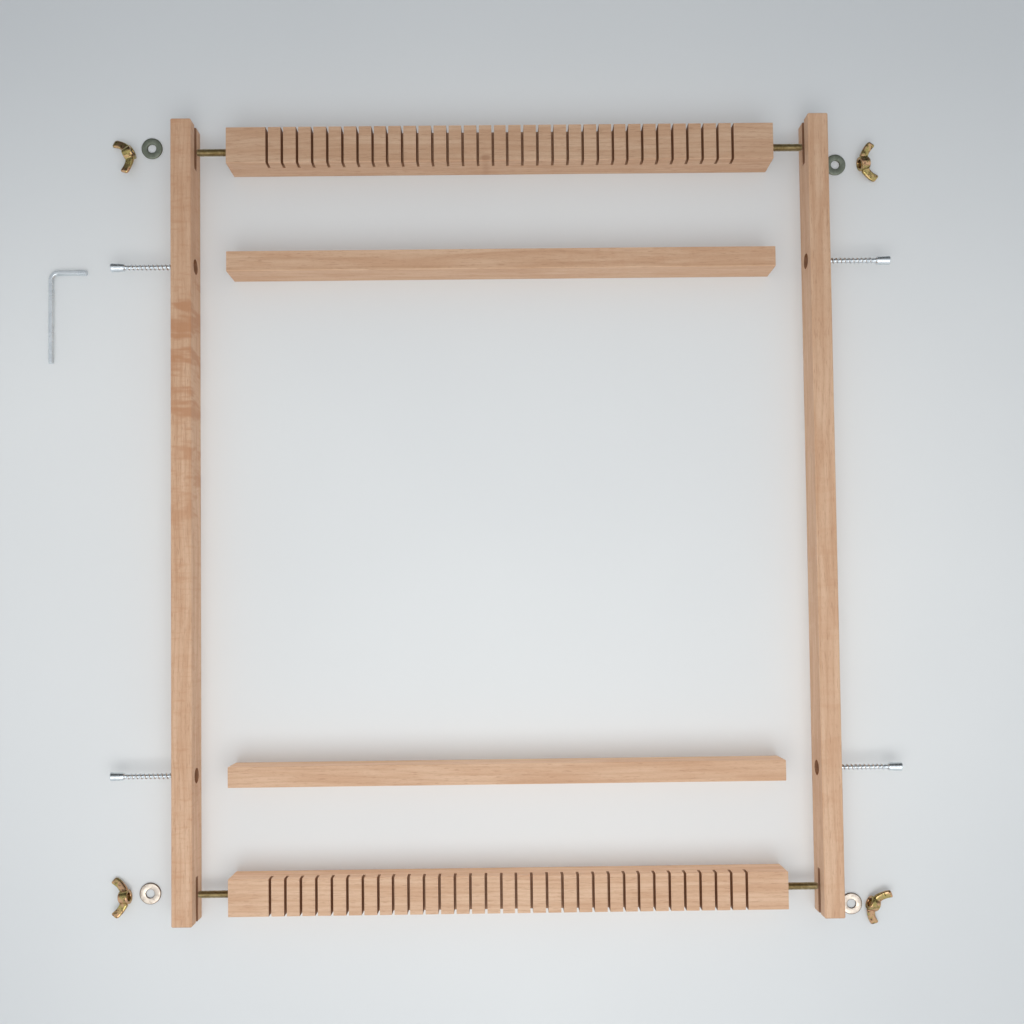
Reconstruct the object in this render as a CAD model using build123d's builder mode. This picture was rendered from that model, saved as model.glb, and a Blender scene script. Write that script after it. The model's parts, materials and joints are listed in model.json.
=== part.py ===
from build123d import *

import os
from math import atan2, cos, degrees, radians

# Beech tapestry loom, knocked down and laid out in the order in which it goes together.
#
# Frame: +X across the loom, +Y towards its upper end, +Z up, with the table at Z = 0. The origin is
# the middle of the kit's footprint on the table. The rails lie drawn apart from the beams and bars,
# and pushing both in by RAIL_GAP closes the loom. All sizes are in millimetres.

# timber
HEIGHT = 29.0  # every wooden piece is this high, so every hole and bolt is at half of it
AXIS_Z = HEIGHT / 2
MEMBER_LENGTH = 435.0  # beams and cross bars
BEAM_WIDTH = 29.0
BAR_WIDTH = 16.0
RAIL_LENGTH = 636.0
RAIL_WIDTH = 16.0
EASED_EDGE = 0.7
RAIL_END_CHAMFER = 1.4

# layout
RAIL_GAP = 28.0  # from each rail's inner face to the ends of the beams and bars
BEAM_Y = 296.0
BAR_Y = 203.0
LOOM_X = 27.65  # the loom's middle, from the middle of the whole kit's footprint, which is the origin
LOOM_Y = 6.0
INNER_FACE = MEMBER_LENGTH / 2 + RAIL_GAP
OUTER_FACE = INNER_FACE + RAIL_WIDTH

# warp slots, in gangs cut by a stack of saws
GANGS = 4
SLOTS_PER_GANG = 8
SLOT_PITCH = 12.0
GANG_STEP = 11.4  # from the last slot of a gang to the first of the next
SLOT_WIDTH = 2.1
SLOT_DEPTH_OUTER = 14.0
SLOT_DEPTH_INNER = 10.5

# forks at the rails' ends, and the holes for the screws
FORK_DEPTH = 35.5
FORK_WIDTH = 6.6
RECESS_RADIUS = 6.0
RECESS_DEPTH = 4.0

# hardware: M6 hanger bolts, washers and wing nuts, and one-piece connecting screws
BOLT_RADIUS = 3.0
BOLT_LENGTH = 50.0
BOLT_CHAMFER = 0.8
BOLT_OUT = 26.6
RUNNING = 0.05  # radial clearance of a shaft in its hole
BORE_SPARE = 1.0  # a blind bore is this much deeper than what goes into it
WASHER_RADIUS = 8.5
WASHER_HOLE = 3.5
WASHER_THICKNESS = 1.6
NUT_BASE_RADIUS = 5.8
NUT_TOP_RADIUS = 4.9
NUT_HEIGHT = 8.0
WING_REACH = 16.0
WING_TOP = 16.0
WING_THICKNESS = 2.8
SCREW_LENGTH = 53.0
HEAD_RADIUS = 3.6
HEAD_LENGTH = 11.0
THREAD_RADIUS = 2.5
SCREW_TIP = 4.0  # length of the taper at the tip
SCREW_STARTED = 1.5  # how far a screw's tip stands in its hole
SOCKET_DEPTH = 5.0
HEX = 4.0  # across the flats of the key
KEY_LONG = 74.0
KEY_SHORT = 29.0
KEY_BEND = 6.0
KEY_END_OUT = 75.5  # from the left rail's outer face to the end of the key's short leg

# where the loose hardware lies: for each corner, how far it is out from the rail's outer face and how far
# it is towards +Y from its bolt's line, and for a nut also the turn of its axis about the vertical
WASHERS_LIE = {
    ("upper", "left"): (23.1, 9.5),
    ("lower", "left"): (24.8, -2.2),
    ("upper", "right"): (13.5, -9.0),
    ("lower", "right"): (13.3, -17.8),
}
NUTS_LIE = {
    ("upper", "left"): (37.0, 5.2, 22.0),
    ("lower", "left"): (39.8, -3.2, 6.0),
    ("upper", "right"): (31.8, -10.6, 12.0),
    ("lower", "right"): (26.0, -15.6, -25.0),
}
NUT_PITCH = degrees(atan2(NUT_BASE_RADIUS - NUT_TOP_RADIUS, NUT_HEIGHT))  # it lies on its tapered side
NUT_ROLL = 102.0  # and rolls until its lower wing is near the table
TABLE_GAP = 0.1

os.makedirs("parts", exist_ok=True)


def save(piece, name):
    """Label a finished piece and write it as parts/NAME.step."""
    piece.part.label = name
    export_step(piece.part, f"parts/{name}.step")


def eased_board(length_x, length_y):
    """A planed board about the origin, standing on Z = 0, with its long edges eased."""
    along = Axis.X if length_x > length_y else Axis.Y
    with BuildPart() as board:
        Box(length_x, length_y, HEIGHT, align=(Align.CENTER, Align.CENTER, Align.MIN))
        chamfer(board.edges().filter_by(along), EASED_EDGE)
    return board.part


def end_bores(radius, depth):
    """The two round holes that are drilled along X into the ends of a beam or bar."""
    with BuildPart() as bores:
        for side in (-1, 1):
            with BuildSketch(Plane.YZ.offset(side * MEMBER_LENGTH / 2)):
                with Locations((0, AXIS_Z)):
                    Circle(radius)
            extrude(amount=-side * depth)
    return bores.part


def slot_positions():
    """X of every warp slot, from the left, about the middle of the beam."""
    gang_pitch = (SLOTS_PER_GANG - 1) * SLOT_PITCH + GANG_STEP
    places = [g * gang_pitch + s * SLOT_PITCH for g in range(GANGS) for s in range(SLOTS_PER_GANG)]
    middle = (places[0] + places[-1]) / 2
    return [x - middle for x in places]


def warp_beam(outer):
    """A slotted beam. outer is +1 where the loom's outside is towards +Y, and -1 where it is towards -Y."""
    side = outer * BEAM_WIDTH / 2
    with BuildPart() as beam:
        add(eased_board(MEMBER_LENGTH, BEAM_WIDTH))
        for x in slot_positions():
            with BuildSketch(Plane.YZ.offset(x)):
                with BuildLine():
                    Polyline(
                        (side, HEIGHT - SLOT_DEPTH_OUTER),
                        (side, HEIGHT),
                        (-side, HEIGHT),
                        (-side, HEIGHT - SLOT_DEPTH_INNER),
                        close=True,
                    )
                make_face()
            extrude(amount=SLOT_WIDTH / 2, both=True, mode=Mode.SUBTRACT)
        add(end_bores(BOLT_RADIUS + RUNNING, BOLT_LENGTH - BOLT_OUT + BORE_SPARE), mode=Mode.SUBTRACT)
    return beam.part


def cross_bar():
    """A plain bar with a blind bore in each end for a connecting screw."""
    reach = SCREW_LENGTH - RAIL_WIDTH
    with BuildPart() as bar:
        add(eased_board(MEMBER_LENGTH, BAR_WIDTH))
        add(end_bores(THREAD_RADIUS + RUNNING, reach + BORE_SPARE), mode=Mode.SUBTRACT)
    return bar.part


def side_rail(inward):
    """A rail with an open fork at each end and two screw holes. inward is the sign of X towards the loom."""
    inner = inward * RAIL_WIDTH / 2
    with BuildPart() as rail:
        add(eased_board(RAIL_WIDTH, RAIL_LENGTH))
        ends = rail.faces().filter_by(Axis.Y)
        chamfer(ends.edges(), RAIL_END_CHAMFER - EASED_EDGE)
        for end in (-1, 1):
            with BuildSketch(Plane.YZ):
                with Locations((end * (RAIL_LENGTH / 2 - FORK_DEPTH + FORK_WIDTH / 2), AXIS_Z)):
                    Circle(FORK_WIDTH / 2)
                with Locations((end * (RAIL_LENGTH / 2 - (FORK_DEPTH - FORK_WIDTH / 2) / 2), AXIS_Z)):
                    Rectangle(FORK_DEPTH - FORK_WIDTH / 2, FORK_WIDTH)
            extrude(amount=RAIL_WIDTH, both=True, mode=Mode.SUBTRACT)
        for y in (-BAR_Y, BAR_Y):
            with BuildSketch(Plane.YZ):
                with Locations((y, AXIS_Z)):
                    Circle(HEAD_RADIUS + RUNNING)
            extrude(amount=RAIL_WIDTH, both=True, mode=Mode.SUBTRACT)
            with BuildSketch(Plane.YZ.offset(inner)):
                with Locations((y, AXIS_Z)):
                    Circle(RECESS_RADIUS)
            extrude(amount=-inward * RECESS_DEPTH, mode=Mode.SUBTRACT)
    return rail.part


def hanger_bolt():
    """A headless bolt along +Z, wood thread at Z = 0 and machine thread at its far end."""
    with BuildPart() as bolt:
        Cylinder(BOLT_RADIUS, BOLT_LENGTH, align=(Align.CENTER, Align.CENTER, Align.MIN))
        chamfer(bolt.edges().filter_by(GeomType.CIRCLE), BOLT_CHAMFER)
    return bolt.part


def washer():
    """A large flat washer about +Z, centred on the origin."""
    with BuildPart() as ring:
        Cylinder(WASHER_RADIUS, WASHER_THICKNESS)
        Cylinder(WASHER_HOLE, WASHER_THICKNESS, mode=Mode.SUBTRACT)
    return ring.part


def wing_nut():
    """A wing nut about +Z, its bearing face at Z = 0 and its wings reaching along X."""
    with BuildPart() as nut:
        Cone(NUT_BASE_RADIUS, NUT_TOP_RADIUS, NUT_HEIGHT, align=(Align.CENTER, Align.CENTER, Align.MIN))
        for side in (-1, 1):
            with BuildSketch(Plane.XZ):
                with BuildLine():
                    Polyline(
                        (side * BOLT_RADIUS, 1.2),
                        (side * NUT_BASE_RADIUS, 1.2),
                        (side * WING_REACH, WING_TOP - 5.0),
                        (side * (WING_REACH - 4.5), WING_TOP),
                        (side * NUT_TOP_RADIUS, NUT_HEIGHT - 0.4),
                        (side * BOLT_RADIUS, NUT_HEIGHT - 0.4),
                        close=True,
                    )
                make_face()
            extrude(amount=WING_THICKNESS / 2, both=True)
        tips = nut.edges().filter_by(Axis.Y).filter_by(lambda edge: edge.center().Z > NUT_HEIGHT)
        fillet(tips, 2.4)
        Cylinder(BOLT_RADIUS + RUNNING, 3 * NUT_HEIGHT, mode=Mode.SUBTRACT)
    return nut.part


def connecting_screw():
    """A one-piece connecting screw along +Z, the socket in its head at Z = 0 and its tip at SCREW_LENGTH."""
    with BuildPart() as screw:
        with BuildSketch(Plane.XZ):
            with BuildLine():
                Polyline(
                    (0, 0),
                    (HEAD_RADIUS - 0.4, 0),
                    (HEAD_RADIUS, 0.4),
                    (HEAD_RADIUS, HEAD_LENGTH - 1.1),
                    (THREAD_RADIUS, HEAD_LENGTH),
                    (THREAD_RADIUS, SCREW_LENGTH - SCREW_TIP),
                    (0.5, SCREW_LENGTH),
                    (0, SCREW_LENGTH),
                    close=True,
                )
            make_face()
        revolve(axis=Axis.Z)
        with BuildSketch():
            RegularPolygon(HEX / 2 + RUNNING, 6, major_radius=False)
        extrude(amount=SOCKET_DEPTH, mode=Mode.SUBTRACT)
    return screw.part


def hex_key():
    """An L-shaped key in the XY plane, its short leg ending at the origin and its long leg along -Y."""
    with BuildPart() as key:
        with BuildLine():
            FilletPolyline((0, 0), (-KEY_SHORT, 0), (-KEY_SHORT, -KEY_LONG), radius=KEY_BEND)
        with BuildSketch(Plane(origin=(0, 0, 0), x_dir=(0, 1, 0), z_dir=(-1, 0, 0))):
            RegularPolygon(HEX / 2, 6, major_radius=False)
        sweep()
    return key.part


def place(name, shape, location):
    """Write one piece of the kit where it lies, from the loom's middle."""
    with BuildPart() as piece:
        with Locations(Location((LOOM_X, LOOM_Y, 0)) * location):
            add(shape)
    save(piece, name)


bar = cross_bar()
screw = connecting_screw()
bolt = hanger_bolt()
flat_washer = washer()
nut = wing_nut()

for end, up in (("upper", 1), ("lower", -1)):
    place(f"{end}_cross_bar", bar, Location((0, up * BAR_Y, 0)))
    place(f"{end}_warp_beam", warp_beam(up), Location((0, up * BEAM_Y, 0)))
    for hand, out in (("left", -1), ("right", 1)):
        # a piece built along +Z points along +X when it is turned 90 degrees about Y
        bolt_inner_end = out * (MEMBER_LENGTH / 2 + BOLT_OUT - BOLT_LENGTH)
        bolt_lies = Location((bolt_inner_end, up * BEAM_Y, AXIS_Z), (0, out * 90, 0))
        place(f"{end}_{hand}_hanger_bolt", bolt, bolt_lies)
        screw_head = out * (OUTER_FACE + SCREW_LENGTH - SCREW_STARTED)
        screw_lies = Location((screw_head, up * BAR_Y, AXIS_Z), (0, -out * 90, 0))
        place(f"{end}_{hand}_screw", screw, screw_lies)

        washer_out, washer_y = WASHERS_LIE[end, hand]
        washer_centre = (out * (OUTER_FACE + washer_out), up * BEAM_Y + washer_y, WASHER_THICKNESS / 2)
        place(f"{end}_{hand}_washer", flat_washer, Location(washer_centre))

        nut_out, nut_y, nut_yaw = NUTS_LIE[end, hand]
        nut_z = NUT_BASE_RADIUS * cos(radians(NUT_PITCH)) + TABLE_GAP
        nut_base = Location((out * (OUTER_FACE + nut_out), up * BEAM_Y + nut_y, nut_z), (0, 0, nut_yaw))
        nut_pitched = Location((0, 0, 0), (0, out * (90 + NUT_PITCH), 0))
        nut_rolled = Location((0, 0, 0), (0, 0, NUT_ROLL))
        place(f"{end}_{hand}_wing_nut", nut, nut_base * nut_pitched * nut_rolled)

for hand, out in (("left", -1), ("right", 1)):
    rail_x = out * (INNER_FACE + RAIL_WIDTH / 2)
    place(f"{hand}_rail", side_rail(-out), Location((rail_x, 0, 0)))

place("hex_key", hex_key(), Location((-(OUTER_FACE + KEY_END_OUT), BAR_Y, HEX / 2)))
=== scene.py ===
import json
from math import cos, pi, radians, sin, tau

import bpy
from mathutils import Euler, Matrix, Vector


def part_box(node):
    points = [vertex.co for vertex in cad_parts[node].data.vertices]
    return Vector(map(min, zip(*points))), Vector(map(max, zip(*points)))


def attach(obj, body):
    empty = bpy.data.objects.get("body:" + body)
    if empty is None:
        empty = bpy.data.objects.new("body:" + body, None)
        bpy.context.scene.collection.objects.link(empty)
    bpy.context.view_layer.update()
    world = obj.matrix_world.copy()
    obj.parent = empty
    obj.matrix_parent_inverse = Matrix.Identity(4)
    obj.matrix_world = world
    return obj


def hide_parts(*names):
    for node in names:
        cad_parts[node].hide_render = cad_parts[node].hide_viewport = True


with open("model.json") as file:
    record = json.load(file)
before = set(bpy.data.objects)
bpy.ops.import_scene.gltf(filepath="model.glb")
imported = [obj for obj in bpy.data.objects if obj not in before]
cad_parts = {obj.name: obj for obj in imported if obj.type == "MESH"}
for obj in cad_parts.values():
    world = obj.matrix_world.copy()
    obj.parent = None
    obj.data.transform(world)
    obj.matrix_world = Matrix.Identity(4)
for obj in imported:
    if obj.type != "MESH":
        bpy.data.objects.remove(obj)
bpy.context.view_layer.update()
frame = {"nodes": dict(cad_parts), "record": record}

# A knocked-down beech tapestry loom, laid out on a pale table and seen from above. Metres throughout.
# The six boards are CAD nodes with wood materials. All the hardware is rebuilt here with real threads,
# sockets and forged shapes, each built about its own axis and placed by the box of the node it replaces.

MM = 0.001
ENDS = ("upper", "lower")
HANDS = (("left", -1), ("right", 1))
BODY_OF = {node: body for body, nodes in frame["record"]["behaviour"]["bodies"].items() for node in nodes}


# ---------------------------------------------------------------- frame

def middle(*nodes):
    """The middle of one or several CAD nodes' boxes."""
    boxes = [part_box(node) for node in nodes]
    return sum((low + high for low, high in boxes), Vector()) / (2 * len(boxes))


LOOM = middle("upper_cross_bar", "lower_cross_bar")
LOOM.z = 0.0

# the wing nuts lie on their tapered sides, which part.py sets with these angles in degrees
NUT_YAW = {
    ("upper", "left"): 22.0,
    ("lower", "left"): 6.0,
    ("upper", "right"): 12.0,
    ("lower", "right"): -25.0,
}
NUT_PITCH = 6.4188
NUT_ROLL = 102.0

# where the boards' holes and slots are, to paint shade inside them; distances are from the loom's middle
AXIS_HEIGHT = 14.5 * MM
BELOW_BOARD_TOP = 28.0 * MM
SLOTTED_HALF = 215.0 * MM  # the beams' slots are all nearer than this, and their ends further
SCREW_LINE = 203.0 * MM
RECESS_RADIUS = 6.1 * MM
FORK_START = 282.0 * MM
FORK_HALF_HEIGHT = 3.35 * MM


# ---------------------------------------------------------------- camera, light and table

def make_camera():
    """Straight down from above the middle of the loom, a little off square, with the frame shifted up."""
    data = bpy.data.cameras.new("camera")
    camera = bpy.data.objects.new("camera", data)
    bpy.context.scene.collection.objects.link(camera)
    data.sensor_width = 36.0
    data.lens = 39.27
    data.shift_y = 0.0618
    data.clip_end = 50.0
    tilt, yaw, roll = (radians(a) for a in (-2.022, 0.441, 0.673))
    turn = Matrix.Rotation(roll, 3, "Z") @ Matrix.Rotation(yaw, 3, "Y") @ Matrix.Rotation(tilt, 3, "X")
    place = Matrix.Translation(LOOM + Vector((-1.3, -79.0, 903.9)) * MM)
    camera.matrix_world = place @ turn.transposed().to_4x4()
    bpy.context.scene.camera = camera


def area_light(name, place, aim, size, power, colour):
    data = bpy.data.lights.new(name, "AREA")
    data.shape = "RECTANGLE"
    data.size, data.size_y = size
    data.energy = power
    data.color = colour
    light = bpy.data.objects.new(name, data)
    bpy.context.scene.collection.objects.link(light)
    light.location = place
    light.rotation_euler = (Vector(aim) - Vector(place)).to_track_quat("-Z", "Y").to_euler()


def fill_light(name, towards, strength):
    """A shadowless light from far away that isn't seen in reflections. towards points at it."""
    data = bpy.data.lights.new(name, "SUN")
    data.energy = strength
    data.angle = radians(30)
    data.use_shadow = False
    light = bpy.data.objects.new(name, data)
    bpy.context.scene.collection.objects.link(light)
    light.rotation_euler = Vector(towards).to_track_quat("Z", "Y").to_euler()
    light.visible_glossy = False


FILLS = (("left", (-1, 0), 0.6), ("right", (1, 0), 0.5), ("upper", (0, 1), 1.4), ("lower", (0, -1), 0.6))
FILL_HEIGHT = 0.08  # how high the side fills stand, for 1 outward


def make_lights():
    area_light("window", (0.05, -0.66, 1.15), (0.0, -0.05, 0.0), (1.2, 0.8), 7.6, (1.0, 0.99, 0.975))
    # reflectors all round and overhead, which lift the shade and cast none of their own
    fill_light("fill_above", (0.0, 0.0, 1.0), 0.38)
    for name, way, strength in FILLS:
        fill_light(f"fill_{name}", (*way, FILL_HEIGHT), strength)
    make_room()
    view = bpy.context.scene.view_settings
    view.view_transform = "Standard"
    view.look = "None"


def make_room():
    """Even light all round, as under a large diffuser. What shines sees a room that darkens towards +Y."""
    world = bpy.data.worlds.new("room")
    bpy.context.scene.world = world
    world.use_nodes = True
    tree = world.node_tree
    direction = tree.nodes.new("ShaderNodeTexCoord").outputs["Generated"]
    split = tree.nodes.new("ShaderNodeSeparateXYZ")
    tree.links.new(direction, split.inputs[0])
    towards_window = tree.nodes.new("ShaderNodeMapRange")
    towards_window.interpolation_type = "SMOOTHSTEP"
    tree.links.new(split.outputs["Y"], towards_window.inputs["Value"])
    for key, value in {"From Min": 0.66, "From Max": 0.06, "To Min": 0.12, "To Max": 0.92}.items():
        towards_window.inputs[key].default_value = value
    strength = tree.nodes.new("ShaderNodeMix")
    tree.links.new(tree.nodes.new("ShaderNodeLightPath").outputs["Is Glossy Ray"], strength.inputs[0])
    strength.inputs[2].default_value = 0.50
    tree.links.new(towards_window.outputs[0], strength.inputs[3])
    background = tree.nodes["Background"]
    background.inputs["Color"].default_value = (0.94, 0.965, 1.0, 1.0)
    tree.links.new(strength.outputs[0], background.inputs["Strength"])


# ---------------------------------------------------------------- shader nodes

class Shader:
    """A material's node tree, with short calls for the nodes that the materials below need."""

    def __init__(self, name):
        self.material = bpy.data.materials.new(name)
        self.material.use_nodes = True
        self.tree = self.material.node_tree
        self.surface = self.tree.nodes["Principled BSDF"]
        self.surface.inputs["Specular IOR Level"].default_value = 0.5

    def node(self, kind, inputs=None, **settings):
        made = self.tree.nodes.new(kind)
        for key, value in settings.items():
            setattr(made, key, value)
        for key, value in (inputs or {}).items():
            self.feed(made.inputs[key], value)
        return made

    def feed(self, socket, value):
        if isinstance(value, bpy.types.NodeSocket):
            self.tree.links.new(value, socket)
        else:
            socket.default_value = value

    def math(self, operation, a, b=0.0):
        return self.node("ShaderNodeMath", {0: a, 1: b}, operation=operation).outputs[0]

    def plus(self, a, b):
        return self.math("ADD", a, b)

    def minus(self, a, b):
        return self.math("SUBTRACT", a, b)

    def times(self, a, b):
        return self.math("MULTIPLY", a, b)

    def length(self, a, b):
        """The length of the plane vector (a, b)."""
        return self.math("SQRT", self.plus(self.times(a, a), self.times(b, b)))

    def place(self):
        """Coordinates that stay with the piece, in metres."""
        return self.node("ShaderNodeTexCoord").outputs["Object"]

    def own_normal(self):
        """The surface's direction in the piece's own frame."""
        return self.node("ShaderNodeTexCoord").outputs["Normal"]

    def split(self, vector):
        return self.node("ShaderNodeSeparateXYZ", {0: vector}).outputs

    def join(self, x, y, z):
        return self.node("ShaderNodeCombineXYZ", {0: x, 1: y, 2: z}).outputs[0]

    def scaled(self, vector, scale, move=(0.0, 0.0, 0.0)):
        made = self.node("ShaderNodeMapping", {"Vector": vector, "Scale": scale, "Location": move})
        return made.outputs[0]

    def noise(self, vector, scale, detail=2.0, roughness=0.5, distortion=0.0):
        settings = {"Vector": vector, "Scale": scale, "Detail": detail}
        settings.update({"Roughness": roughness, "Distortion": distortion})
        return self.node("ShaderNodeTexNoise", settings).outputs["Fac"]

    def ramp(self, value, low, high, to_low=0.0, to_high=1.0, smooth=True):
        """value from low..high to to_low..to_high, held at both ends."""
        kind = "SMOOTHSTEP" if smooth else "LINEAR"
        inputs = {"Value": value, "From Min": low, "From Max": high, "To Min": to_low, "To Max": to_high}
        return self.node("ShaderNodeMapRange", inputs, interpolation_type=kind).outputs[0]

    def mix(self, amount, a, b, blend="MIX"):
        made = self.node("ShaderNodeMix", data_type="RGBA", blend_type=blend)
        for socket, value in zip((made.inputs[0], made.inputs[6], made.inputs[7]), (amount, a, b)):
            self.feed(socket, (*value, 1.0) if isinstance(value, tuple) and len(value) == 3 else value)
        return made.outputs[2]

    def bump(self, height, depth, strength=1.0):
        made = self.node("ShaderNodeBump", {"Height": height, "Distance": depth, "Strength": strength})
        self.feed(self.surface.inputs["Normal"], made.outputs[0])

    def set(self, **inputs):
        names = {"colour": "Base Color", "roughness": "Roughness", "metallic": "Metallic"}
        for key, value in inputs.items():
            value = (*value, 1.0) if isinstance(value, tuple) and len(value) == 3 else value
            self.feed(self.surface.inputs[names.get(key, key)], value)


# ---------------------------------------------------------------- materials

PALE = (0.640, 0.432, 0.290)
WARM = (0.540, 0.325, 0.198)
LATE = (0.430, 0.235, 0.130)
FLECK = (0.310, 0.145, 0.072)
RAY = (0.450, 0.215, 0.105)
# painted shade, laid inside the slots, screw holes and forks
RECESS_PAINTED_SHADE = (0.160, 0.064, 0.028)
REDDISH = (0.500, 0.265, 0.140)
END_GRAIN = (0.360, 0.185, 0.095)
END_LATE = (0.235, 0.110, 0.055)
PAINTED_LIGHT_UPPER = 0.87  # painted shade: how bright the wood is painted at the loom's upper end, where less light falls, for 1 at its middle
UPPER_END = 0.33
RING_SPACING = 3.4 * MM
RING_BEND = 22.0 * MM


def beech(name, axis, pith, rays=0.0, knots=(), board_painted_shade=1.0, bored=False, slotted=False):
    """Planed beech. axis 0 or 1 is the grain's direction, pith the tree's middle across the board in metres,
    rays how strong the marks across the grain are, and knots are (place along, place across, radius).
    bored is for the rails, whose screw holes and forks get painted shade inside, and slotted for the beams,
    whose slots get painted shade too."""
    s = Shader(name)
    own = s.split(s.place())
    along, across, up = own[axis], own[1 - axis], own[2]
    # growth rings about the pith, bent along the board by slow noise
    slow = s.noise(s.scaled(s.place(), (4.0, 9.0, 14.0) if axis == 0 else (9.0, 4.0, 14.0)), 1.0, 2.0)
    bend = s.times(s.minus(slow, 0.5), RING_BEND)
    u = s.plus(s.minus(across, pith[0]), bend)
    v = s.minus(up, pith[1])
    radius = s.length(u, v)
    ring = s.math("FRACT", s.times(radius, 1 / RING_SPACING))
    late = s.times(s.ramp(ring, 0.45, 0.92), s.ramp(ring, 1.0, 0.93))
    # streaks, pores and flecks, all drawn out along the grain
    fibre = s.join(s.times(along, 0.055), across, up)
    streak = s.noise(fibre, 900.0, 3.0, 0.6, 0.4)
    broad = s.noise(s.join(s.times(along, 0.09), across, up), 150.0, 2.0, 0.5, 0.5)
    pore = s.noise(s.join(s.times(along, 0.16), across, up), 2600.0, 2.0, 0.6)
    dash = s.noise(s.join(s.times(along, 0.10), across, up), 1250.0, 1.0, 0.4)
    colour = s.mix(s.ramp(broad, 0.3, 0.72, 0.0, 0.85), PALE, WARM)
    colour = s.mix(s.times(late, 0.26), colour, LATE)
    colour = s.mix(s.ramp(streak, 0.50, 0.76, 0.0, 0.26), colour, LATE)
    colour = s.mix(s.ramp(dash, 0.60, 0.72, 0.0, 0.32), colour, FLECK)
    colour = s.mix(s.ramp(pore, 0.56, 0.70, 0.0, 0.22), colour, FLECK)
    if rays:
        cross = s.join(along, s.times(across, 0.22), s.times(up, 0.22))
        patch = s.noise(cross, 58.0, 3.0, 0.68, 0.35)
        curl = s.noise(cross, 330.0, 2.0, 0.6, 0.3)
        # the marks gather towards the rail's upper end
        where = s.noise(s.scaled(s.place(), (5.0, 5.0, 5.0), (0.0, 0.13, 0.0)), 1.0, 1.0)
        where = s.plus(where, s.ramp(along, 0.02, 0.22, -0.10, 0.10))
        mark = s.times(s.ramp(patch, 0.50, 0.62), s.ramp(where, 0.40, 0.58, 0.15, 1.0))
        colour = s.mix(s.ramp(along, 0.0, 0.30, 0.0, rays * 0.28), colour, REDDISH)
        colour = s.mix(s.times(mark, rays), colour, RAY)
        colour = s.mix(s.ramp(curl, 0.50, 0.72, 0.0, rays * 0.38), colour, RAY)
    for knot_along, knot_across, size in knots:
        a = s.times(s.minus(along, knot_along), 0.6)
        b = s.minus(across, knot_across)
        far = s.length(a, b)
        far = s.plus(far, s.times(s.minus(streak, 0.5), size * 0.9))
        colour = s.mix(s.ramp(far, size, size * 0.35, 0.0, 0.55), colour, FLECK)
    # sawn end grain, on the board's ends and in the slots: darker, with the rings showing
    facing = s.math("ABSOLUTE", s.split(s.own_normal())[axis])
    cut = s.ramp(facing, 0.6, 0.8)
    grain = s.mix(late, END_GRAIN, END_LATE)
    colour = s.mix(s.times(cut, 0.85), colour, grain)
    if slotted or bored:
        from_middle = s.math("ABSOLUTE", s.minus(along, LOOM[axis]))
    if slotted:
        # painted shade in the slots: slot walls face along the grain, and slot floors face up from below the
        # top
        faces_up = s.math("GREATER_THAN", s.split(s.own_normal())[2], 0.6)
        slot_floor = s.times(faces_up, s.math("LESS_THAN", up, BELOW_BOARD_TOP))
        short_of_ends = s.math("LESS_THAN", from_middle, SLOTTED_HALF)
        recess_shade_mask = s.times(s.math("MAXIMUM", cut, slot_floor), short_of_ends)
        colour = s.mix(s.times(recess_shade_mask, 0.55), colour, RECESS_PAINTED_SHADE)
    if bored:
        # painted shade inside the screw holes and the forks
        height = s.math("ABSOLUTE", s.minus(up, AXIS_HEIGHT))
        in_hole = s.math("LESS_THAN", s.length(s.minus(from_middle, SCREW_LINE), height), RECESS_RADIUS)
        past_start = s.math("GREATER_THAN", from_middle, FORK_START)
        in_fork = s.times(past_start, s.math("LESS_THAN", height, FORK_HALF_HEIGHT))
        recess_shade_mask = s.math("MAXIMUM", in_hole, in_fork)
        colour = s.mix(s.times(recess_shade_mask, 0.8), colour, RECESS_PAINTED_SHADE)
    # painted shade: the wood darkens towards the loom's upper end, where less light falls, and a whole board
    # darkens by its own factor
    painted_falloff = s.times(s.ramp(s.split(s.place())[1], 0.0, UPPER_END, 1.0, PAINTED_LIGHT_UPPER), board_painted_shade)
    colour = s.mix(1.0, colour, s.join(painted_falloff, painted_falloff, painted_falloff), blend="MULTIPLY")
    rough = s.ramp(streak, 0.3, 0.7, 0.50, 0.64)
    s.set(colour=colour, roughness=rough)
    s.surface.inputs["Specular IOR Level"].default_value = 0.34
    relief = s.plus(s.times(streak, 0.6), s.times(pore, 0.4))
    s.bump(relief, 0.00022, 0.5)
    return s.material


def plated(name, base, tint, dark, rough, patches=240.0, stain=0.35, edge_painted_shade=0.0):
    """Plated steel: two shades of the plating in soft patches, dull spots, and fine handling marks.
    rim is how strongly painted shade darkens the sloped edges of a flat piece."""
    s = Shader(name)
    cloud = s.noise(s.place(), patches, 3.0, 0.6, 0.8)
    spot = s.noise(s.scaled(s.place(), (1.0, 1.0, 1.0), (0.3, 0.1, 0.7)), patches * 2.3, 3.0, 0.65)
    fine = s.noise(s.place(), 5200.0, 2.0, 0.6)
    colour = s.mix(s.ramp(cloud, 0.40, 0.60), base, tint)
    colour = s.mix(s.ramp(spot, 0.50, 0.68, 0.0, stain), colour, dark)
    # painted shade on the edges, whose slopes turn away from the light above
    if edge_painted_shade:
        level = s.math("ABSOLUTE", s.split(s.own_normal())[2])
        colour = s.mix(s.ramp(level, 0.995, 0.88, 0.0, edge_painted_shade), colour, dark)
    wear = s.ramp(cloud, 0.3, 0.7, rough - 0.06, rough + 0.08)
    wear = s.plus(wear, s.times(s.minus(fine, 0.5), 0.16))
    s.set(colour=colour, roughness=wear, metallic=1.0)
    s.bump(fine, 0.00004, 0.35)
    return s.material


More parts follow.
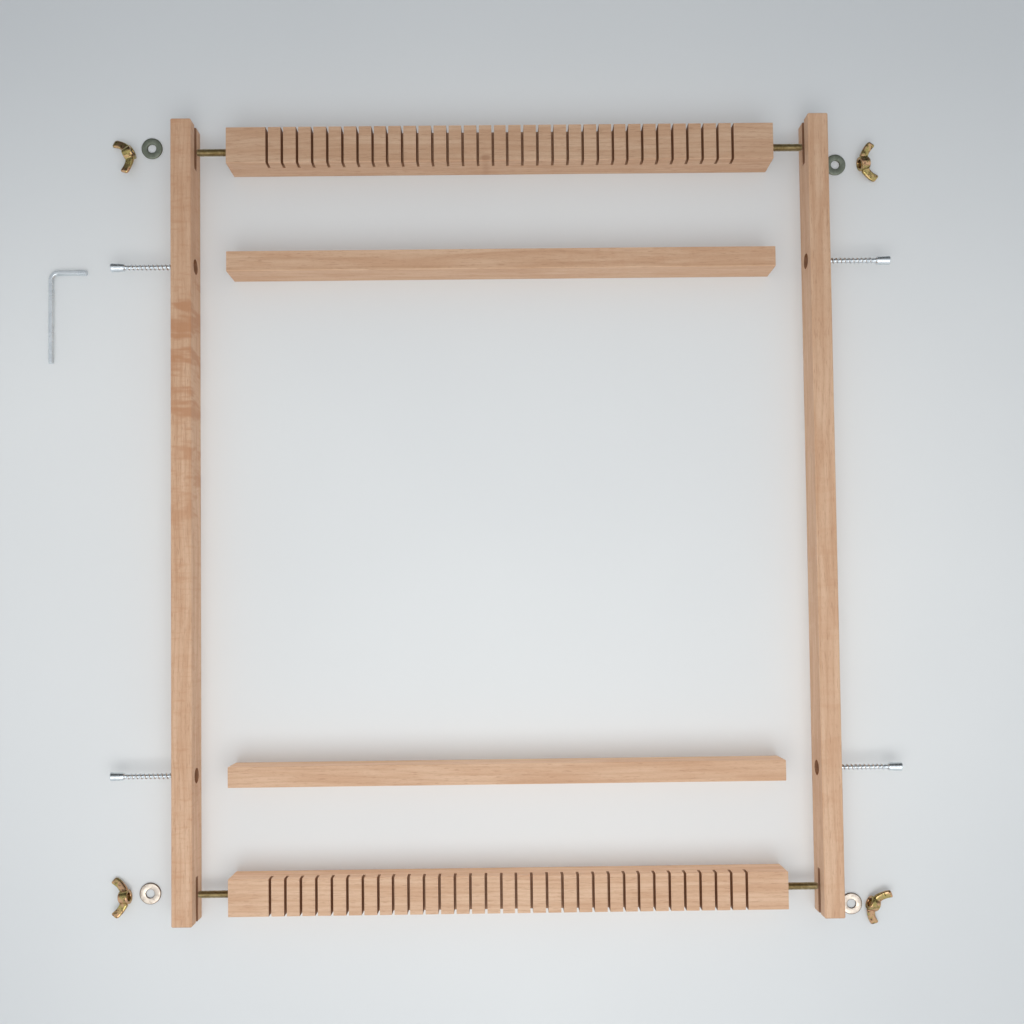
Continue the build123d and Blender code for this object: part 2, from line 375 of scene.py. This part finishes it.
def table_top():
    s = Shader("table_top")
    cloud = s.noise(s.place(), 2.4, 3.0, 0.5)
    fine = s.noise(s.place(), 300.0, 3.0, 0.6)
    colour = s.mix(s.ramp(cloud, 0.3, 0.7), (0.700, 0.722, 0.728), (0.728, 0.750, 0.753))
    # the table falls into shade away from the middle, most of all beyond the loom's upper end
    shade = (0.34, 0.37, 0.40)
    x, y = s.split(s.place())[0:2]
    away = s.length(x, y)
    colour = s.mix(s.ramp(away, 0.30, 0.62, 0.0, 0.22), colour, (0.30, 0.335, 0.37))
    colour = s.mix(s.ramp(y, 0.08, 0.46, 0.0, 0.34), colour, shade)
    colour = s.mix(s.ramp(y, -0.05, -0.42, 0.0, 0.13), colour, shade)
    s.set(colour=colour, roughness=s.ramp(fine, 0.3, 0.7, 0.46, 0.56))
    s.surface.inputs["Specular IOR Level"].default_value = 0.35
    return s.material


# ---------------------------------------------------------------- mesh building

def loft(name, rings, loop=False):
    """A mesh through rings of equally many points, closed at both ends, or with loop back to its start."""
    count = len(rings[0])
    vertices = [point for ring in rings for point in ring]
    faces = []
    steps = len(rings) if loop else len(rings) - 1
    for i in range(steps):
        near, far = i * count, (i + 1) % len(rings) * count
        for j in range(count):
            k = (j + 1) % count
            faces.append((near + j, near + k, far + k, far + j))
    if not loop:
        for start, order in ((0, -1), (len(rings) - 1, 1)):
            centre = sum((Vector(p) for p in rings[start]), Vector()) / count
            vertices.append(centre)
            for j in range(count):
                pair = (start * count + j, start * count + (j + 1) % count)
                faces.append((*pair[::order], len(vertices) - 1))
    mesh = bpy.data.meshes.new(name)
    mesh.from_pydata([tuple(v) for v in vertices], [], faces)
    mesh.validate()
    mesh.update()
    return mesh


def round_ring(radius, z, segments):
    """A ring about Z. radius is a length or a function of the angle."""
    angles = [tau * j / segments for j in range(segments)]
    radii = [radius(a) if callable(radius) else radius for a in angles]
    return [Vector((r * cos(a), r * sin(a), z)) for r, a in zip(radii, angles)]


def hexagon(flats):
    """Radius of a hexagon, by its size across the flats, as a function of the angle."""
    return lambda a: flats / 2 / cos((a % (pi / 3)) - pi / 6)


def smooth(value, low, high):
    t = min(1.0, max(0.0, (value - low) / (high - low)))
    return t * t * (3 - 2 * t)


def shade_smooth(thing, angle=35.0):
    """Smooth shading that keeps edges sharper than angle degrees."""
    for polygon in thing.data.polygons:
        polygon.use_smooth = True
    thing.data.set_sharp_from_angle(angle=radians(angle))


def add_piece(name, mesh, place, node, slot, material, angle=35.0):
    """Make an object of the mesh where place says, standing for a CAD node."""
    mesh.transform(place)
    thing = bpy.data.objects.new(name, mesh)
    bpy.context.scene.collection.objects.link(thing)
    mesh.materials.append(material)
    shade_smooth(thing, angle)
    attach(thing, BODY_OF[node])
    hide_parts(node)
    return thing


def turned(profile, segments):
    """Rings about Z for the (radius, height) pairs of a profile in millimetres."""
    return [round_ring(radius * MM, height * MM, segments) for radius, height in profile]


def thread_rings(start, end, pitch, major, minor, crest, root, segments, samples, fade=0.8):
    """Rings of a helical thread from start to end. crest and root are their flats as shares of the pitch,
    and the thread fades out over fade pitches at both ends."""
    count = int((end - start) / pitch * samples)
    rings = []
    for i in range(count + 1):
        z = start + (end - start) * i / count

        def radius(angle, z=z):
            turn = (z / pitch - angle / tau) % 1.0
            away = abs(2 * turn - 1)  # 0 on the crest, 1 in the root
            height = 1 - min(1.0, max(0.0, (away - crest) / (1 - crest - root)))
            run_out = smooth(z - start, 0, fade * pitch) * smooth(end - z, 0, fade * pitch)
            return minor + (major - minor) * height * run_out

        rings.append(round_ring(radius, z, segments))
    return rings


# ---------------------------------------------------------------- hardware shapes, each along its own +Z

BOLT_RADIUS = 3.0 * MM
BOLT_LENGTH = 50.0 * MM


def hanger_bolt_mesh():
    """Coarse wood thread with a point at Z = 0, a plain collar, and M6 thread with a chamfered end."""
    segments = 28
    wood_end, collar_end = 22.0 * MM, 25.0 * MM
    rings = turned(((0.5, 0.0), (1.3, 1.2), (1.9, 2.6)), segments)
    rings += thread_rings(3.2 * MM, wood_end, 2.4 * MM, BOLT_RADIUS, 2.1 * MM, 0.06, 0.45, segments, 12)
    rings += turned(((2.1, 22.3), (2.75, 22.9), (2.75, 24.7)), segments)
    thread_end = BOLT_LENGTH - 0.5 * MM
    rings += thread_rings(collar_end, thread_end, 1.0 * MM, 2.97 * MM, 2.42 * MM, 0.12, 0.2, segments, 10)
    rings += turned(((2.42, 49.65), (2.2, 49.92), (2.05, 50.0)), segments)
    return loft("hanger_bolt", rings)


def screw_mesh():
    """A connecting screw: a hexagonal socket in a tapered head at Z = 0, coarse thread and a blunt point."""
    segments = 36
    socket = hexagon(4.1 * MM)
    rings = [round_ring(lambda a: socket(a) * 0.72, 5.6 * MM, segments)]
    rings += [round_ring(socket, z * MM, segments) for z in (5.0, 0.55)]
    rings += turned(((2.62, 0.12), (2.75, 0.02), (3.2, 0.0)), segments)
    rings += turned(((3.45, 0.1), (3.58, 0.4), (3.6, 0.9), (3.5, 1.6), (3.4, 4.0)), segments)
    rings += turned(((3.28, 7.0), (3.12, 9.4), (2.85, 10.4), (2.2, 11.1), (1.75, 11.6)), segments)
    rings += thread_rings(12.0 * MM, 49.5 * MM, 3.4 * MM, 2.5 * MM, 1.68 * MM, 0.07, 0.52, segments, 18, 0.5)
    rings += turned(((1.6, 50.4), (1.2, 51.8), (0.7, 52.7), (0.25, 53.0)), segments)
    return loft("connecting_screw", rings)


def washer_mesh():
    """A punched washer: edges rolled over on one face."""
    segments = 96
    inner, outer, half = 3.5, 8.5, 0.8
    profile = [(inner, -half + 0.25), (inner + 0.1, -half + 0.07), (inner + 0.35, -half)]
    profile += [(outer - 0.5, -half), (outer - 0.18, -half + 0.08), (outer, -half + 0.34)]
    profile += [(outer, half - 0.5), (outer - 0.08, half - 0.3)]
    profile += [(outer - 0.3, half - 0.08), (outer - 0.75, half)]
    profile += [(inner + 0.8, half), (inner + 0.3, half - 0.1), (inner, half - 0.45)]
    return loft("washer", turned(profile, segments), loop=True)


def wing_nut_mesh():
    """A forged wing nut, its bearing face at Z = 0: a tapered hub with two stubby bar-shaped wings."""
    segments = 64
    hub = [(3.25, 7.4), (3.25, 0.6), (3.9, 0.0), (5.3, 0.0), (5.75, 0.35), (5.72, 0.9), (5.0, 7.1)]
    hub += [(4.75, 7.75), (4.35, 8.0), (3.85, 8.0)]
    parts = [loft("hub", turned(hub, segments), loop=True)]
    bow = 1.1  # how far the wings bend out, hollow towards the inside of the V
    for side in (-1, 1):
        root, tip = Vector((side * 4.2, 0, 4.0)), Vector((side * 14.1, 0, 13.0))
        run = tip - root
        along = run.normalized()
        wide = Vector((along.z, 0, -along.x))
        rings = []
        steps = 22
        for i in range(steps + 1):
            t = i / steps
            end = max(0.0, (t - 0.86) / 0.14)
            close = (1 - end**2.4) ** 0.5 if end < 1 else 0.12
            half_width = (3.5 - 0.45 * smooth(t, 0.0, 0.45) + 0.2 * t) * (0.66 + 0.34 * close)
            half_thick = (2.0 - 0.55 * smooth(t, 0.0, 0.6)) * (0.55 + 0.45 * close)
            centre = root + run * t + wide * side * bow * sin(pi * t)
            ring = []
            for j in range(40):
                a = tau * j / 40
                x = abs(cos(a)) ** 0.55 * (1 if cos(a) >= 0 else -1)
                y = abs(sin(a)) ** 0.62 * (1 if sin(a) >= 0 else -1)
                ring.append((centre + wide * half_width * x + Vector((0, half_thick * y, 0))) * MM)
            rings.append(ring if side > 0 else ring[::-1])
        parts.append(loft("wing", rings))
    vertices, faces = [], []
    for part in parts:
        base = len(vertices)
        vertices += [tuple(v.co) for v in part.vertices]
        faces += [[base + i for i in p.vertices] for p in part.polygons]
    mesh = bpy.data.meshes.new("wing_nut")
    mesh.from_pydata(vertices, [], faces)
    nut = melted(mesh, 0.28 * MM, 0.5, 8)
    # clear the bore for its bolt
    bore = 3.12 * MM
    for vertex in nut.vertices:
        reach = vertex.co.xy.length
        if reach < bore:
            vertex.co.xy *= bore / reach
    return nut


def melted(mesh, voxel, factor, repeat):
    """The mesh with its parts joined into one skin, and its edges softened as in a forging."""
    thing = bpy.data.objects.new("melted", mesh)
    bpy.context.scene.collection.objects.link(thing)
    remesh = thing.modifiers.new("remesh", "REMESH")
    remesh.mode = "VOXEL"
    remesh.voxel_size = voxel
    soften = thing.modifiers.new("soften", "SMOOTH")
    soften.factor = factor
    soften.iterations = repeat
    evaluated = thing.evaluated_get(bpy.context.evaluated_depsgraph_get())
    result = bpy.data.meshes.new_from_object(evaluated)
    bpy.data.objects.remove(thing)
    return result


def key_mesh():
    """A bent hexagonal key in the XY plane. Its short leg ends at the origin, its long one runs to -Y."""
    flats, short, long, bend = 4.0, 29.0, 74.0, 6.0
    corner = flats / 2 / cos(pi / 6)
    path = [(Vector((0, 0, 0)), 0.0), (Vector((-short + bend, 0, 0)), 0.0)]
    steps = 16
    for i in range(1, steps):
        a = pi / 2 * i / steps
        path.append((Vector((-short + bend - bend * sin(a), -bend + bend * cos(a), 0)), a))
    path += [(Vector((-short, -bend, 0)), pi / 2), (Vector((-short, -long, 0)), pi / 2)]
    # a chamfer at each end, as a smaller ring just before the full one
    rings = []
    last = len(path) - 1
    for i, (centre, angle) in enumerate(path):
        travel = Vector((-cos(angle), -sin(angle), 0))
        side = Vector((-sin(angle), cos(angle), 0))
        shapes = [(0.0, 1.0)]
        if i == 0:
            shapes = [(0.0, 0.82), (0.45, 1.0)]
        elif i == last:
            shapes = [(-0.45, 1.0), (0.0, 0.82)]
        for shift, size in shapes:
            ring = []
            for k in range(6):
                for nudge in (-0.075, 0.075):
                    a = tau * k / 6 + nudge
                    r = corner * size * 0.96  # so that the flats between the rounded corners are true
                    around = side * r * cos(a) + Vector((0, 0, r * sin(a)))
                    ring.append((centre + travel * shift + around) * MM)
            rings.append(ring)
    return loft("hex_key", rings)


# ---------------------------------------------------------------- pieces

def paint_boards():
    """The six boards keep their CAD shape and get wood of their own."""
    woods = {
        "left_rail": beech("beech_left_rail", 1, (-0.335, 0.055), rays=0.75, bored=True),
        "right_rail": beech("beech_right_rail", 1, (0.24, -0.020), rays=0.15, bored=True),
        # the upper beam gets painted shade for the light that falls off towards the loom's upper end
        "upper_warp_beam": beech("beech_upper_beam", 0, (0.262, 0.045), board_painted_shade=0.94, slotted=True,
                                knots=((0.016, 0.290, 0.0035),)),
        "lower_warp_beam": beech("beech_lower_beam", 0, (-0.350, 0.052), slotted=True),
        "upper_cross_bar": beech("beech_upper_bar", 0, (0.185, -0.018), rays=0.1),
        "lower_cross_bar": beech("beech_lower_bar", 0, (-0.170, 0.060)),
    }
    for node, material in woods.items():
        mesh = frame["nodes"][node].data
        mesh.materials.clear()
        mesh.materials.append(material)


def along_x(node, out, start_outside):
    """The frame of a piece along X, its own Z = 0 end at the side away from the loom or towards it."""
    low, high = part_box(node)
    centre = (low + high) / 2
    outer, inner = (high.x, low.x) if out > 0 else (low.x, high.x)
    start, way = (outer, -out) if start_outside else (inner, out)
    turn = Matrix.Rotation(way * pi / 2, 4, "Y")
    return Matrix.Translation((start, centre.y, centre.z)) @ turn


def nut_place(node, end, hand, out):
    """The frame of a wing nut: its known angles, and its axis and bearing face found from the CAD node."""
    lies = Euler((0, out * radians(90 + NUT_PITCH), 0)).to_matrix()
    yaw, roll = (Matrix.Rotation(radians(a), 3, "Z") for a in (NUT_YAW[end, hand], NUT_ROLL))
    turn = yaw @ lies @ roll
    own = [turn.transposed() @ v.co for v in frame["nodes"][node].data.vertices]
    centre = [(min(p[i] for p in own) + max(p[i] for p in own)) / 2 for i in (0, 1)]
    origin = Vector((*centre, min(p.z for p in own)))
    return Matrix.Translation(turn @ origin) @ turn.to_4x4()


def make_hardware():
    yellow = plated("yellow_zinc", (0.62, 0.38, 0.22), (0.42, 0.34, 0.13), (0.08, 0.04, 0.018),
                    rough=0.20, patches=170.0, stain=0.95)
    yellow_rod = plated("yellow_zinc_rod", (0.46, 0.39, 0.23), (0.36, 0.29, 0.15), (0.18, 0.12, 0.06),
                        rough=0.36)
    zinc = plated("bright_zinc", (0.74, 0.78, 0.80), (0.66, 0.71, 0.74), (0.45, 0.50, 0.53),
                  rough=0.26, patches=120.0, stain=0.12)
    dull = plated("dull_zinc", (0.27, 0.295, 0.235), (0.22, 0.245, 0.19), (0.10, 0.11, 0.08),
                  rough=0.36, edge_painted_shade=0.45)
    cream = plated("cream_zinc", (0.60, 0.53, 0.45), (0.52, 0.46, 0.40), (0.16, 0.10, 0.06),
                   rough=0.36, patches=150.0, stain=0.4, edge_painted_shade=0.95)
    bolt, screw, ring, nut = hanger_bolt_mesh(), screw_mesh(), washer_mesh(), wing_nut_mesh()
    for end in ENDS:
        washer_finish = (dull, "dull_zinc") if end == "upper" else (cream, "bright_zinc")
        for hand, out in HANDS:
            node = f"{end}_{hand}_hanger_bolt"
            place = along_x(node, out, start_outside=False)
            add_piece(f"threaded_{node}", bolt.copy(), place, node, "yellow_zinc", yellow_rod, 60)
            node = f"{end}_{hand}_screw"
            place = along_x(node, out, start_outside=True)
            add_piece(f"threaded_{node}", screw.copy(), place, node, "bright_zinc", zinc, 50)
            node = f"{end}_{hand}_washer"
            place = Matrix.Translation(middle(node))
            add_piece(f"punched_{node}", ring.copy(), place, node, washer_finish[1], washer_finish[0])
            node = f"{end}_{hand}_wing_nut"
            place = nut_place(node, end, hand, out)
            place.translation.z -= min(0.0, min((place @ v.co).z for v in nut.vertices))
            add_piece(f"forged_{node}", nut.copy(), place, node, "yellow_zinc", yellow, 180)
    low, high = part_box("hex_key")
    flats = 4.0 * MM
    place = Matrix.Translation((high.x, high.y - flats / 2 / cos(pi / 6), low.z + flats / 2))
    add_piece("bent_hex_key", key_mesh(), place, "hex_key", "bright_zinc", zinc, 25)


def make_table():
    size = 6.0
    mesh = bpy.data.meshes.new("table_top")
    corners = [(-size, -size, 0), (size, -size, 0), (size, size, 0), (-size, size, 0)]
    mesh.from_pydata(corners, [], [(0, 1, 2, 3)])
    table = bpy.data.objects.new("table_top", mesh)
    bpy.context.scene.collection.objects.link(table)
    mesh.materials.append(table_top())


make_camera()
make_lights()
make_table()
paint_boards()
make_hardware()
